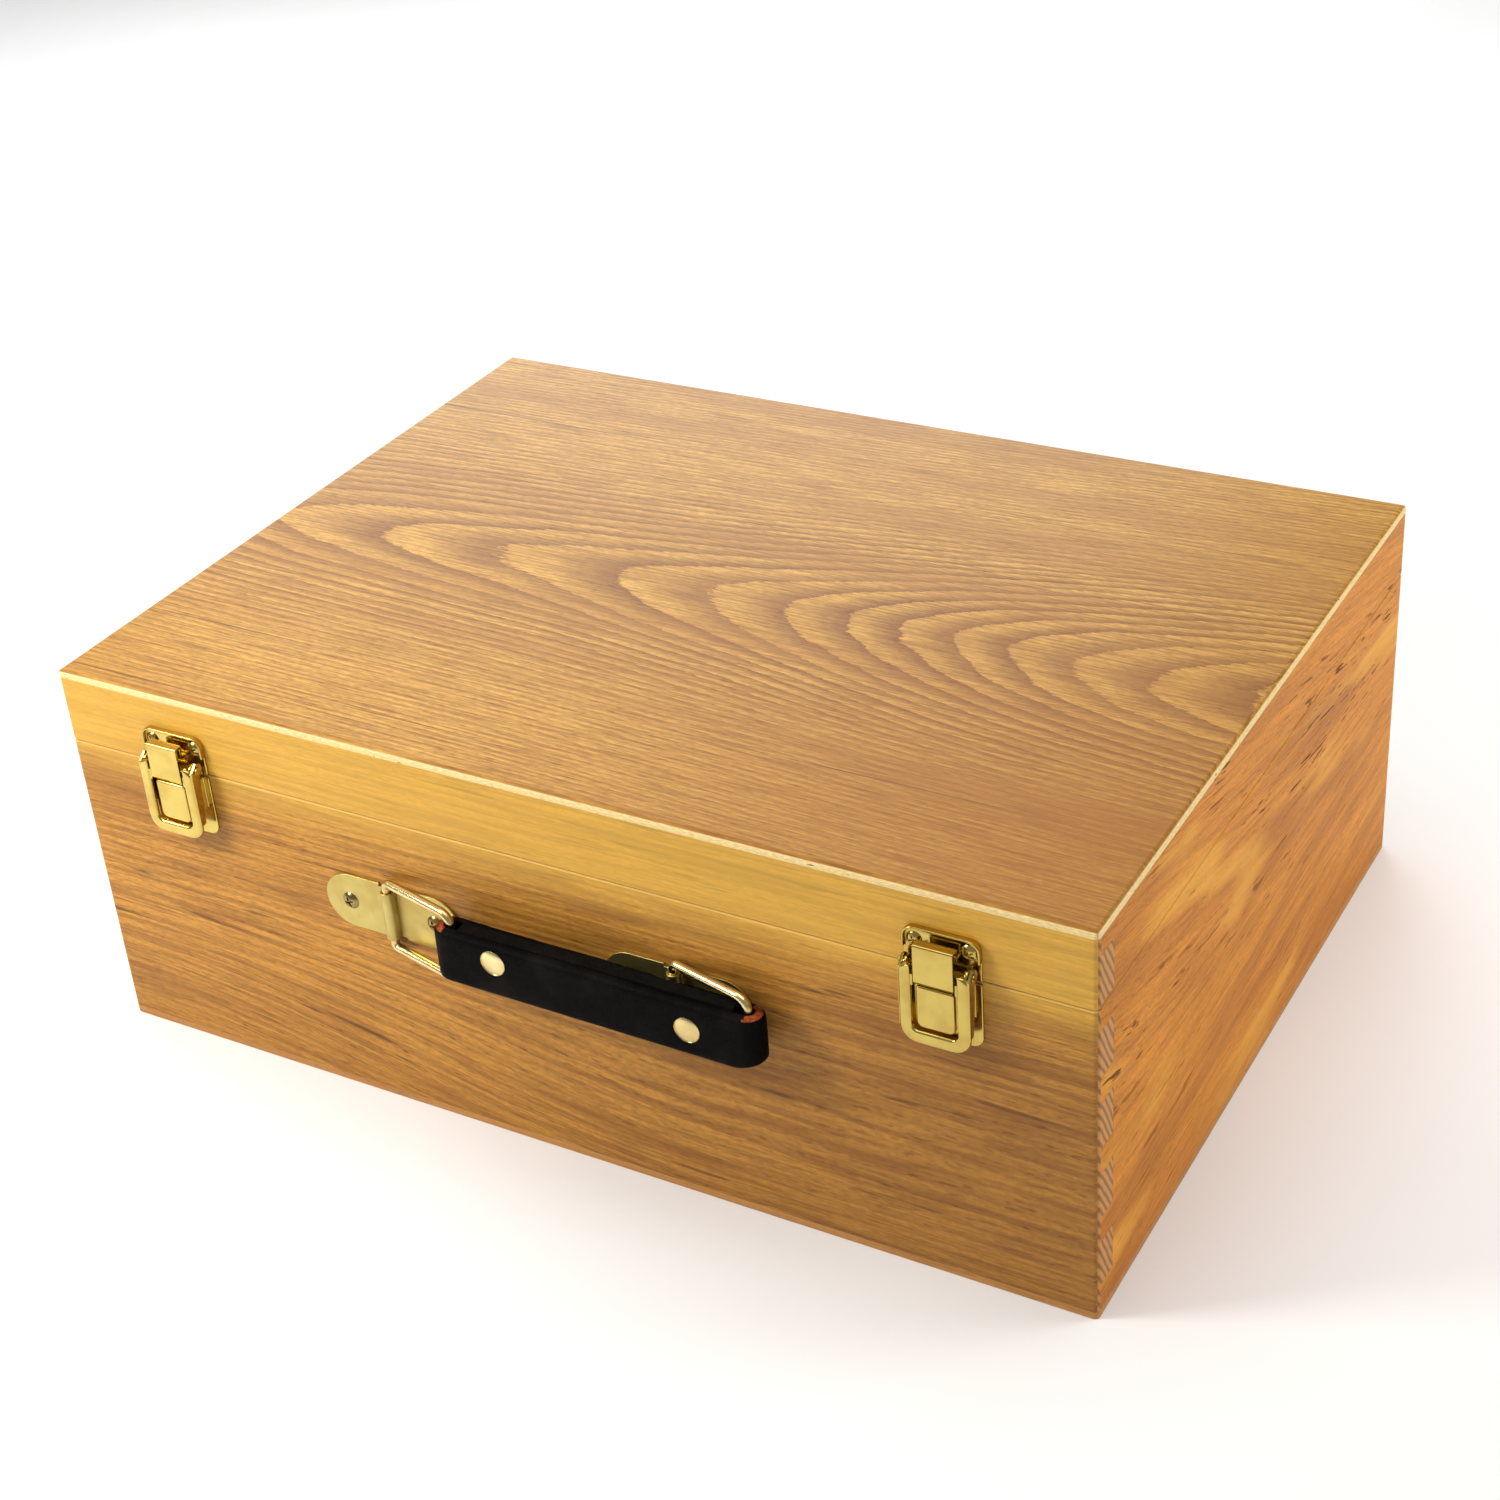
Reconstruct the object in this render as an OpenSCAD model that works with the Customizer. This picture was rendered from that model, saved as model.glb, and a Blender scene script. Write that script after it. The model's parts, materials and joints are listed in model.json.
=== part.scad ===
// Wooden art supply box: a finger-jointed case sawn into body and lid, with two
// toggle latches, two butt hinges, two slotted lid stays and a leather strap handle.
// Millimetres. Origin at the centre of the bottom face, +X to the right,
// +Y to the hinged back, +Z up.

/* [Case] */
// Outside width of the box
box_w = 400; // [380:5:440]
// Outside depth of the box
box_d = 296; // [280:2:320]
// Outside height of the box
box_h = 153; // [150:1:160]
// Height of the lid, from the saw cut to the top
lid_h = 29; // [27:1:30]
// Thickness of the four wall boards
board_t = 12; // [11:0.5:13]
// Thickness of the top and bottom panels
panel_t = 3; // [2.5:0.5:4]
// Radius of the eased outside edges
edge_r = 2; // [1:0.5:2.5]
// Width of the saw cut between body and lid
seam = 0.4; // [0.3:0.1:0.8]

/* [Finger joints] */
// Height of one finger
finger_h = 10; // [8:1:12]
// Height of the lowest finger's middle
finger_z = 8.5; // [8.5:0.5:10]
// Distance from one finger to the next
finger_pitch = 28; // [26:1:30]
// Wood left in front of each finger
finger_lap = 2; // [1.5:0.5:3]

/* [Dividers] */
// Thickness of the dividers
divider_t = 6; // [4:1:8]
// Height of the dividers above the bottom panel
divider_h = 62; // [40:2:70]
// Position of the long divider from front to back
long_divider_y = 40; // [0:5:60]
// Distance of each short divider from the middle
short_divider_x = 64; // [50:2:100]

/* [Hinges] */
// Distance of each hinge from the middle
hinge_x = 125; // [100:5:140]
// Width of a hinge leaf
hinge_w = 50; // [50:1:60]
// Height of a hinge leaf
hinge_leaf_h = 23; // [20:1:24]
// Thickness of a hinge leaf
hinge_leaf_t = 1.2; // [1:0.1:1.4]
// Radius of the hinge knuckles
hinge_knuckle_r = 2.8; // [2.6:0.1:2.8]
// Radius of the hinge pins
hinge_pin_r = 1.25; // [1:0.05:1.4]

/* [Lid stays] */
// Distance from the hinge line to the stay's pivot and to its stud
stay_reach = 50; // [48:1:54]
// Height of the pivot above the saw cut, and of the stud below it
stay_rise = 13; // [12:0.5:14]
// Width of a stay arm
stay_w = 10; // [9:0.5:12]
// Thickness of a stay arm
stay_t = 1.5; // [1.2:0.1:2]
// Largest opening angle of the lid, in degrees
lid_open = 100; // [90:1:102]

/* [Latches] */
// Distance of each latch from the middle
latch_x = 149.5; // [130:0.5:160]
// Width of the latch base and catch plates
latch_w = 26.3; // [26:0.1:28]
// Height of the base plate's lower edge
latch_base_low = 99; // [97:0.5:99]
// Height of the catch plate's upper edge
latch_catch_high = 139.5; // [139:0.5:141]
// Width of the lever
lever_w = 24; // [24:0.1:24.2]
// Distance of the lever's front face from the wood
lever_front = 8.2; // [8.1:0.1:8.4]
// Width of the link between the lever and the catch
link_w = 13.5; // [12:0.1:13.6]

/* [Handle] */
// Height of the handle's middle
handle_z = 86.5; // [70:0.5:88]
// Position of the handle's middle from side to side
handle_x = -5; // [-10:1:0]
// Distance between the two ring pivots
handle_span = 115; // [110:1:120]
// Length of a handle plate
plate_l = 57; // [54:1:60]
// Height of a handle plate
plate_h = 22; // [21.5:0.5:24]
// Thickness of a handle plate
plate_t = 1; // [0.8:0.1:1.2]
// Length of a ring, from pivot to strap bar
ring_arm = 33; // [31:0.5:35]
// Height of a ring between its wire centres
ring_h = 27; // [26:0.5:28]
// Diameter of the ring wire
ring_wire = 3.2; // [3:0.1:3.3]
// Angle of the rings to the front face when the handle lies flat, in degrees
ring_tilt = 13.5; // [13.5:0.5:16]
// Height of the leather strap
strap_h = 21; // [18:0.5:21]
// Thickness of the strap's leather
leather_t = 3.3; // [3:0.1:3.3]

/* [Hidden] */

$fn = 48;
over = 1;             // how far a cutting shape runs past the face it cuts
running = 0.06;       // radial clearance of a pin turning in its bore
clear = 0.4;          // gap between parts that pass each other
WOOD = "burlywood";
PALE = "wheat";
BRASS = "gold";
LEATHER = "dimgray";

// Case
side_x = box_w / 2;
front_y = -box_d / 2;
back_y = box_d / 2;
inner_x = side_x - board_t;
inner_front = front_y + board_t;
inner_back = back_y - board_t;
split_z = box_h - lid_h;
body_top = split_z - seam / 2;
lid_low = split_z + seam / 2;
panel_low = box_h - panel_t;
fingers = [for (k = [0 : floor((box_h - finger_z) / finger_pitch)]) finger_z + k * finger_pitch];

// Screws
screw_r = 1.4;
screw_l = 9;
screw_head_r = 3.4;
screw_head_h = 1.5;
small_head_r = 2.3;
small_head_h = 0.8;
catch_head_r = 2.8;
catch_head_h = 1.2;
screw_fit = 0.05;

// Hinges
hinge_off = 3;        // distance of the hinge line behind the back face
hinge_y = back_y + hinge_off;
knuckle_n = 5;
knuckle_l = hinge_w / knuckle_n;
knuckle_gap = 0.2;
leaf_edge = 3.2;      // distance from the hinge line to the leaf's plain edge
hinge_screw_dx = 16;
hinge_screw_dz = 14;

// Lid stays
stay_y = hinge_y - sqrt(stay_reach * stay_reach - stay_rise * stay_rise);
stay_shut = asin(stay_rise / stay_reach);
stay_stroke = 2 * stay_reach * sin(lid_open / 2 + stay_shut);
stud_r = 2;
stud_head_r = 4;
stud_head_t = 1.5;
stud_deep = 8;
slot_r = stud_r + 0.3;
stay_gap = 0.4;       // gap on each face of the arm
slot_start = 2 * stay_rise - 1;
slot_end = stay_stroke + 0.5;

// Latches: heights in z, distances from the wood in the local third axis
latch_t = 1;
base_top = split_z - 0.8;
catch_low = split_z + 0.5;
plate_corner = 4;
lever_t = 1.4;
lever_low = 100;
lever_band = 4.2;
lever_corner = 6;
lever_shoulder = 3.5;
pivot_z = 128;        // lever pivot
pivot_off = 4.5;
lever_top = pivot_z + 1.5;
pivot_r = 1;
ear_t = 1.1;
ear_r = 2.3;
cheek_t = 1;
cheek_r = 2.8;
cheek_in = lever_w / 2 - cheek_t;
ear_in = cheek_in - 0.3 - ear_t;
link_z = 124;         // link pivot
link_off = 6;
link_pin_r = 0.9;
link_t = 1.2;
link_top = 137.2;
lip_off = 4.2;        // how near the wood the link's lip comes
lug_in = link_w / 2 + 0.35;
lug_out = ear_in - 0.4;
lug_r = 2;
tab_off = 5.6;        // back of the lever's sunken middle
hook_off = lip_off - 0.35;
catch_screw_dx = 9.2;
catch_screw_z = 134.5;
base_screw_dx = 6;
base_screw_z = 104;

// Handle
wire_r = ring_wire / 2;
knuckles = [handle_x - handle_span / 2, handle_x + handle_span / 2];
sleeve_bore = wire_r + running;
sleeve_r = sleeve_bore + 0.75;
sleeve_off = sleeve_r + 0.05;
sleeve_h = 19.4;
notch_w = 9;
plate_screw_dx = 18;
near_bend = 2.2;
far_bend = 4.5;
bar_dx = ring_arm * cos(ring_tilt);
bar_off = sleeve_off + ring_arm * sin(ring_tilt);
loop_r = wire_r + 0.7;
strap_r = loop_r + leather_t;
dent_w = 2 * sleeve_r + 5;
dent_off = sleeve_off + sleeve_r + clear;
rivet_r = 4.75;
rivet_x = [-10.4, 64.3];
rivet_z = [handle_z + 3.5, handle_z - 0.8];
rivet_t = 1;
rivet_pin_r = 1.5;
rivet_back_r = 3.8;

// ---- helpers ----

module rounded_rect(w, h, r) {
    square([w - 2 * r, h], center = true);
    square([w, h - 2 * r], center = true);
    for (x = [-1, 1], y = [-1, 1])
        translate([x * (w / 2 - r), y * (h / 2 - r)]) circle(r);
}

// A bar with half-round ends, from one end's centre to the other, along local -Y.
module slot_shape(from, to, r) {
    translate([-r, -to]) square([2 * r, to - from]);
    translate([0, -from]) circle(r);
    translate([0, -to]) circle(r);
}

// Children drawn with local X across, local Y up and local Z out of the front face.
module on_front() {
    translate([0, front_y, 0]) rotate([90, 0, 0]) children();
}

// The same on the back face: local Z out of the back, local X towards -X.
module on_back() {
    translate([0, back_y, 0]) rotate([90, 0, 180]) children();
}

// Inside on_front: a profile of (height, distance from the wood), run along X.
module across(from, w) {
    translate([from, 0, 0]) rotate([90, 0, 90]) linear_extrude(w) children();
}

// Inside on_front: a round bar along X.
module cross_bar(from, w, z, off, r) {
    translate([from, z, off]) rotate([0, 90, 0]) cylinder(h = w, r = r);
}

// A cross-recess screw standing on local Z = 0.
module screw(head_r, head_h) {
    dome = (head_r * head_r + head_h * head_h) / (2 * head_h);
    difference() {
        union() {
            intersection() {
                translate([0, 0, head_h - dome]) sphere(dome);
                cylinder(h = head_h + over, r = head_r);
            }
            translate([0, 0, -screw_l]) cylinder(h = screw_l + head_h / 2, r = screw_r);
        }
        for (turn = [0, 90])
            rotate([0, 0, turn + 20])
                translate([-head_r * 0.55, -head_r * 0.11, head_h * 0.35])
                    cube([head_r * 1.1, head_r * 0.22, head_h + over]);
    }
}

// The hole that a screw standing on local Z = z fills.
module screw_hole(z) {
    translate([0, 0, z - screw_l - screw_fit])
        cylinder(h = screw_l + screw_fit + over, r = screw_r + screw_fit);
}

module at_handle_screws() {
    for (k = knuckles, s = [-1, 1])
        translate([k + s * plate_screw_dx, handle_z, plate_t]) children();
}

module at_base_screws() {
    for (c = [-latch_x, latch_x], s = [-1, 1])
        translate([c + s * base_screw_dx, base_screw_z, latch_t]) children();
}

module at_catch_screws() {
    for (c = [-latch_x, latch_x], s = [-1, 1])
        translate([c + s * catch_screw_dx, catch_screw_z, latch_t]) children();
}

// side is -1 for the body leaves' screws and 1 for the lid leaves' screws.
module at_hinge_screws(side) {
    for (c = [-hinge_x, hinge_x], s = [-1, 1])
        translate([c + s * hinge_screw_dx, split_z + side * hinge_screw_dz, hinge_leaf_t])
            children();
}

// ---- case ----

// The solid block between two heights, with eased upright edges.
module outline(from, to) {
    translate([0, 0, from]) linear_extrude(to - from) rounded_rect(box_w, box_d, edge_r);
}

// Blocks where the fingers of the side boards enter the front board.
module front_fingers(side, grow) {
    for (z = fingers)
        translate([side > 0 ? inner_x : -side_x, front_y + finger_lap, z - finger_h / 2])
            cube([board_t + grow, board_t - finger_lap, finger_h]);
}

// Blocks where the fingers of the back board enter the side boards.
module back_fingers(side) {
    for (z = fingers)
        translate([side > 0 ? inner_x : -side_x + finger_lap, inner_back, z - finger_h / 2])
            cube([board_t - finger_lap, board_t, finger_h]);
}

module front_wall(from, to) {
    intersection() {
        outline(from, to);
        difference() {
            translate([-side_x, front_y, from]) cube([box_w, board_t, to - from]);
            front_fingers(1, over);
            translate([-over, 0, 0]) front_fingers(-1, over);
        }
    }
}

module back_wall(from, to) {
    intersection() {
        outline(from, to);
        union() {
            translate([-inner_x, inner_back, from]) cube([2 * inner_x, board_t, to - from]);
            back_fingers(1);
            back_fingers(-1);
        }
    }
}

module side_wall(side, from, to) {
    intersection() {
        outline(from, to);
        difference() {
            union() {
                translate([side > 0 ? inner_x : -side_x, inner_front, from])
                    cube([board_t, box_d - board_t, to - from]);
                front_fingers(side, 0);
            }
            back_fingers(side);
        }
    }
}

module stay_hole(side, z) {
    translate([side * (inner_x - over), stay_y, z]) rotate([0, side * 90, 0])
        cylinder(h = stud_deep + over + screw_fit, r = stud_r + screw_fit);
}

module body_front_board() {
    color(WOOD) difference() {
        front_wall(panel_t, body_top);
        on_front() {
            at_handle_screws() screw_hole(0);
            at_base_screws() screw_hole(0);
        }
    }
}

module body_back_board() {
    color(WOOD) difference() {
        back_wall(panel_t, body_top);
        on_back() at_hinge_screws(-1) screw_hole(0);
    }
}

module body_side_board(side) {
    color(WOOD) difference() {
        side_wall(side, panel_t, body_top);
        stay_hole(side, split_z - stay_rise);
    }
}

module bottom_panel() {
    color(PALE) outline(0, panel_t);
}

module long_divider() {
    color(PALE) translate([-inner_x, long_divider_y - divider_t / 2, panel_t])
        cube([2 * inner_x, divider_t, divider_h]);
}

module short_divider(x) {
    color(PALE) translate([x - divider_t / 2, inner_front, panel_t])
        cube([divider_t, long_divider_y - divider_t / 2 - inner_front, divider_h]);
}

module lid_front_rail() {
    color(WOOD) difference() {
        front_wall(lid_low, panel_low);
        on_front() at_catch_screws() screw_hole(0);
    }
}

module lid_back_rail() {
    color(WOOD) difference() {
        back_wall(lid_low, panel_low);
        on_back() at_hinge_screws(1) screw_hole(0);
    }
}

module lid_side_rail(side) {
    color(WOOD) difference() {
        side_wall(side, lid_low, panel_low);
        stay_hole(side, split_z + stay_rise);
    }
}

// The profile of the top panel's edge, rounded over along the top.
module top_profile(w) {
    translate([-w / 2, 0]) square([w, panel_t - edge_r]);
    translate([-w / 2 + edge_r, 0]) square([w - 2 * edge_r, panel_t]);
    intersection() {
        translate([-w / 2, 0]) square([w, panel_t]);
        for (s = [-1, 1]) translate([s * (w / 2 - edge_r), panel_t - edge_r]) circle(edge_r);
    }
}

module lid_top_panel() {
    color(WOOD) intersection() {
        outline(panel_low, box_h);
        translate([0, back_y, panel_low]) rotate([90, 0, 0])
            linear_extrude(box_d) top_profile(box_w);
        translate([-side_x, 0, panel_low]) rotate([90, 0, 90])
            linear_extrude(box_w) top_profile(box_d);
    }
}

// ---- hinges ----

// One knuckle of the hinge with the strip that joins it to its leaf.
// side is -1 for a leaf that goes down from the hinge line, 1 for one that goes up.
module hinge_knuckle(k, side) {
    x = -hinge_w / 2 + k * knuckle_l;
    gap = k == 0 ? 0 : knuckle_gap / 2;
    end = k == knuckle_n - 1 ? 0 : knuckle_gap / 2;
    cross_bar(x + gap, knuckle_l - gap - end, split_z, hinge_off, hinge_knuckle_r);
    translate([x + gap, side < 0 ? split_z - leaf_edge : split_z, 0])
        cube([knuckle_l - gap - end, leaf_edge, hinge_leaf_t]);
}

module hinge_leaf(x, side) {
    knuckle_set = side < 0 ? [0, 2, 4] : [1, 3];
    color(BRASS) on_back() difference() {
        translate([-x, 0, 0]) {
            translate([-hinge_w / 2, side < 0 ? split_z - hinge_leaf_h : split_z + leaf_edge, 0])
                cube([hinge_w, hinge_leaf_h - leaf_edge, hinge_leaf_t]);
            for (k = knuckle_set) hinge_knuckle(k, side);
        }
        cross_bar(-side_x, box_w, split_z, hinge_off, hinge_pin_r + running);
        at_hinge_screws(side) screw_hole(0);
    }
}

module hinge_pin(x) {
    color(BRASS) on_back()
        cross_bar(-x - hinge_w / 2, hinge_w, split_z, hinge_off, hinge_pin_r);
}

// ---- lid stays ----

// A shouldered stud in a side wall, with its head inside the stay arm.
module stay_stud(side, z) {
    head_x = inner_x - 2 * stay_gap - stay_t;
    color(BRASS) translate([0, stay_y, z]) rotate([0, side * 90, 0]) {
        translate([0, 0, head_x]) cylinder(h = inner_x - head_x + stud_deep, r = stud_r);
        translate([0, 0, head_x - stud_head_t]) cylinder(h = stud_head_t, r = stud_head_r);
    }
}

module stay_arm(side) {
    color(BRASS)
        translate([side * (inner_x - stay_gap - stay_t / 2), stay_y, split_z + stay_rise])
            rotate([90, 0, 90]) linear_extrude(stay_t, center = true) difference() {
                slot_shape(0, slot_end, stay_w / 2);
                circle(stud_r + running);
                slot_shape(slot_start, slot_end, slot_r);
            }
}

// ---- latches ----

module latch_base(x) {
    half = latch_w / 2;
    color(BRASS) on_front() translate([x, 0, 0]) difference() {
        union() {
            linear_extrude(latch_t) {
                translate([-half, latch_base_low + plate_corner])
                    square([latch_w, base_top - latch_base_low - plate_corner]);
                translate([-half + plate_corner, latch_base_low])
                    square([latch_w - 2 * plate_corner, plate_corner]);
                for (s = [-1, 1])
                    translate([s * (half - plate_corner), latch_base_low + plate_corner])
                        circle(plate_corner);
            }
            for (from = [ear_in, -ear_in - ear_t]) across(from, ear_t) {
                translate([pivot_z, pivot_off]) circle(ear_r);
                translate([111, pivot_off - ear_r]) square([pivot_z - 111, 3.6]);
                translate([111, latch_t / 2]) square([base_top - 111, pivot_off - ear_r]);
            }
        }
        cross_bar(-half, latch_w, pivot_z, pivot_off, pivot_r + screw_fit);
        for (s = [-1, 1])
            translate([s * base_screw_dx, base_screw_z, latch_t]) screw_hole(0);
    }
}

module latch_lever_pins() {
    color(BRASS) on_front() for (x = [-latch_x, latch_x], s = [-1, 1])
        translate([x, 0, 0]) {
            from = s > 0 ? ear_in : -lever_w / 2 - 0.2;
            head = s > 0 ? lever_w / 2 + 0.2 : -lever_w / 2 - 0.6;
            cross_bar(from, lever_w / 2 + 0.2 - ear_in, pivot_z, pivot_off, pivot_r);
            cross_bar(head, 0.4, pivot_z, pivot_off, pivot_r + 0.5);
        }
}

// The lever's outline: straight sides, round lower corners and smaller round shoulders.
module lever_outline(inset) {
    half = lever_w / 2 - inset;
    corner = lever_corner - inset;
    shoulder = lever_shoulder - inset;
    low = lever_low + inset;
    translate([-half, low + corner]) square([2 * half, lever_top - shoulder - low - corner]);
    translate([-half + corner, low]) square([2 * (half - corner), corner]);
    translate([-half + shoulder, lever_top - shoulder]) square([2 * (half - shoulder), shoulder]);
    for (s = [-1, 1]) {
        translate([s * (half - corner), low + corner]) circle(corner);
        translate([s * (half - shoulder), lever_top - shoulder]) circle(shoulder);
    }
}

module latch_lever(x) {
    window = lever_w / 2 - lever_band;
    foot = lever_low + 5;
    half_link = link_w / 2;
    color(BRASS) on_front() translate([x, 0, 0]) difference() {
        union() {
            translate([0, 0, lever_front - lever_t]) linear_extrude(lever_t - 0.5) difference() {
                lever_outline(0);
                translate([-window, foot]) square([2 * window, lever_top - foot + over]);
            }
            translate([0, 0, lever_front - 0.5]) linear_extrude(0.5) difference() {
                lever_outline(0.5);
                translate([-window, foot]) square([2 * window, lever_top - foot + over]);
            }
            translate([-half_link, foot - 2, tab_off])
                cube([link_w, link_z - lug_r - 0.6 - foot + 2, latch_t + 0.4]);
            for (from = [cheek_in, -lever_w / 2]) across(from, cheek_t) {
                translate([pivot_z, pivot_off]) circle(cheek_r);
                translate([pivot_z - cheek_r, pivot_off]) square([cheek_r + 1.5, lever_front - pivot_off - 0.5]);
                translate([lever_low + lever_corner, lever_front - 3]) square([pivot_z - lever_low - lever_corner, 2.5]);
            }
            for (from = [lug_in, -lug_out]) across(from, lug_out - lug_in) {
                translate([link_z, link_off]) circle(lug_r);
                translate([link_z - lug_r, link_off]) square([2 * lug_r, lever_front - link_off - 0.5]);
            }
        }
        cross_bar(-lever_w, 2 * lever_w, pivot_z, pivot_off, pivot_r + running);
        cross_bar(-lever_w, 2 * lever_w, link_z, link_off, link_pin_r + screw_fit);
    }
}

module latch_link_pin(x) {
    color(BRASS) on_front() translate([x, 0, 0])
        cross_bar(-lug_out, 2 * lug_out, link_z, link_off, link_pin_r);
}

module latch_link(x) {
    front = lever_front - 0.3;
    color(BRASS) on_front() translate([x, 0, 0]) difference() {
        across(-link_w / 2, link_w) {
            translate([link_z, link_off]) circle(link_pin_r + 1);
            translate([link_z - 0.6, front - link_t]) square([link_top - link_z + 0.6, link_t]);
            translate([link_z - 0.6, link_off]) square([1.6, front - link_off]);
            translate([link_top - link_t, lip_off]) square([link_t, front - lip_off]);
        }
        cross_bar(-link_w, 2 * link_w, link_z, link_off, link_pin_r + running);
    }
}

// The catch plate's outline: square below, with round upper corners.
module catch_outline(inset) {
    half = latch_w / 2 - inset;
    corner = plate_corner - inset;
    top = latch_catch_high - inset;
    translate([-half, catch_low]) square([2 * half, top - corner - catch_low]);
    translate([-half + corner, catch_low]) square([2 * (half - corner), top - catch_low]);
    for (s = [-1, 1]) translate([s * (half - corner), top - corner]) circle(corner);
}

module latch_catch(x) {
    rim = 0.8;
    rim_off = 2.4;
    rim_low = pivot_z + 3.5;
    hook_half = 5;
    color(BRASS) on_front() translate([x, 0, 0]) difference() {
        union() {
            linear_extrude(latch_t) catch_outline(0);
            linear_extrude(rim_off) difference() {
                intersection() {
                    catch_outline(0);
                    translate([-latch_w / 2, rim_low]) square([latch_w, latch_catch_high - rim_low]);
                }
                catch_outline(rim);
            }
            across(-hook_half, 2 * hook_half) {
                translate([130.4, latch_t / 2]) square([1.2, hook_off - latch_t / 2]);
                translate([130.4, hook_off - 1.1]) square([4.8, 1.1]);
            }
        }
        for (s = [-1, 1])
            translate([s * catch_screw_dx, catch_screw_z, latch_t]) screw_hole(0);
    }
}

// ---- handle ----

module handle_plate(x) {
    color(BRASS) on_front() translate([x, handle_z, 0]) difference() {
        union() {
            linear_extrude(plate_t) difference() {
                union() {
                    square([plate_l - plate_h, plate_h], center = true);
                    for (s = [-1, 1]) translate([s * (plate_l - plate_h) / 2, 0]) circle(plate_h / 2);
                }
                for (s = [-1, 1]) translate([0, s * (sleeve_h / 2 + 5)])
                    square([notch_w, 10], center = true);
            }
            translate([0, sleeve_h / 2, sleeve_off]) rotate([90, 0, 0])
                cylinder(h = sleeve_h, r = sleeve_r);
        }
        translate([0, plate_h, sleeve_off]) rotate([90, 0, 0])
            cylinder(h = 2 * plate_h, r = sleeve_bore);
        for (s = [-1, 1]) translate([s * plate_screw_dx, 0, plate_t]) screw_hole(0);
    }
}

// A quarter bend of the ring wire about local Z, starting on local +X.
module wire_bend(bend) {
    rotate_extrude(angle = 90) translate([bend, 0]) circle(wire_r);
}

// The ring's pivot lies on local Z; its arms run along local +X.
module ring_shape() {
    half = ring_h / 2;
    translate([0, 0, -half + near_bend]) cylinder(h = ring_h - 2 * near_bend, r = wire_r);
    translate([ring_arm, 0, -half + far_bend]) cylinder(h = ring_h - 2 * far_bend, r = wire_r);
    for (s = [-1, 1]) {
        translate([near_bend, 0, s * half]) rotate([0, 90, 0])
            cylinder(h = ring_arm - near_bend - far_bend, r = wire_r);
        translate([near_bend, 0, s * (half - near_bend)])
            rotate([s * 90, 0, 0]) rotate([0, 0, 90]) wire_bend(near_bend);
        translate([ring_arm - far_bend, 0, s * (half - far_bend)])
            rotate([s * 90, 0, 0]) wire_bend(far_bend);
    }
}

module handle_ring(x) {
    color(BRASS) translate([x, front_y - sleeve_off, handle_z])
        rotate([0, 0, -ring_tilt]) ring_shape();
}

module at_rivets() {
    on_front() for (k = [0, 1]) translate([rivet_x[k], rivet_z[k], bar_off]) children();
}

// The leather band, folded round both ring bars and lying against its filler.
module handle_strap() {
    bars = [knuckles[0] + bar_dx, knuckles[1] + bar_dx];
    back = front_y - bar_off;
    color(LEATHER) difference() {
        translate([0, 0, handle_z - strap_h / 2]) linear_extrude(strap_h) difference() {
            union() {
                translate([bars[0], back - strap_r]) square([handle_span, 2 * strap_r]);
                for (b = bars) translate([b, back]) circle(strap_r);
            }
            for (b = bars) translate([b, back]) circle(loop_r);
            translate([bars[0], back - loop_r]) square([handle_span, 2 * loop_r]);
            translate([knuckles[1] - dent_w / 2, front_y - dent_off]) square([dent_w, dent_off]);
        }
        at_rivets() translate([0, 0, -10]) cylinder(h = 20, r = rivet_pin_r + screw_fit);
    }
}

// The stiff core between the two layers of the strap.
module handle_strap_filler() {
    from = knuckles[0] + bar_dx + loop_r + 2;
    to = knuckles[1] + bar_dx - loop_r - 2;
    color(LEATHER) difference() {
        translate([from, front_y - bar_off - loop_r, handle_z - strap_h / 2])
            cube([to - from, 2 * loop_r, strap_h]);
        at_rivets() translate([0, 0, -10]) cylinder(h = 20, r = rivet_pin_r + screw_fit);
    }
}

module handle_rivets() {
    dome = 12;
    color(BRASS) at_rivets() {
        translate([0, 0, -strap_r - rivet_t / 2])
            cylinder(h = 2 * strap_r + rivet_t, r = rivet_pin_r);
        translate([0, 0, strap_r]) intersection() {
            cylinder(h = rivet_t, r = rivet_r);
            translate([0, 0, rivet_t - dome]) sphere(dome);
        }
        translate([0, 0, -strap_r - rivet_t * 0.8]) cylinder(h = rivet_t * 0.8, r = rivet_back_r);
    }
}

// ---- nodes ----

body_front_board();
body_back_board();
body_side_board(-1);  // body_left_board
body_side_board(1);  // body_right_board
bottom_panel();
long_divider();
short_divider(-short_divider_x);  // short_divider_left
short_divider(short_divider_x);  // short_divider_right
handle_plate(knuckles[0]);  // handle_plate_left
handle_plate(knuckles[1]);  // handle_plate_right
color(BRASS) on_front() at_handle_screws() screw(screw_head_r, screw_head_h);  // handle_plate_screws
latch_base(-latch_x);  // latch_base_left
latch_base(latch_x);  // latch_base_right
color(BRASS) on_front() at_base_screws() screw(small_head_r, small_head_h);  // latch_base_screws
latch_lever_pins();
hinge_leaf(-hinge_x, -1);  // hinge_body_leaf_left
hinge_leaf(hinge_x, -1);  // hinge_body_leaf_right
hinge_pin(-hinge_x);  // hinge_pin_left
hinge_pin(hinge_x);  // hinge_pin_right
color(BRASS) on_back() at_hinge_screws(-1) screw(small_head_r, small_head_h);  // hinge_body_screws
stay_stud(-1, split_z - stay_rise);  // stay_stud_left
stay_stud(1, split_z - stay_rise);  // stay_stud_right
lid_front_rail();
lid_back_rail();
lid_side_rail(-1);  // lid_left_rail
lid_side_rail(1);  // lid_right_rail
lid_top_panel();
latch_catch(-latch_x);  // latch_catch_left
latch_catch(latch_x);  // latch_catch_right
color(BRASS) on_front() at_catch_screws() screw(catch_head_r, catch_head_h);  // latch_catch_screws
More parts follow.
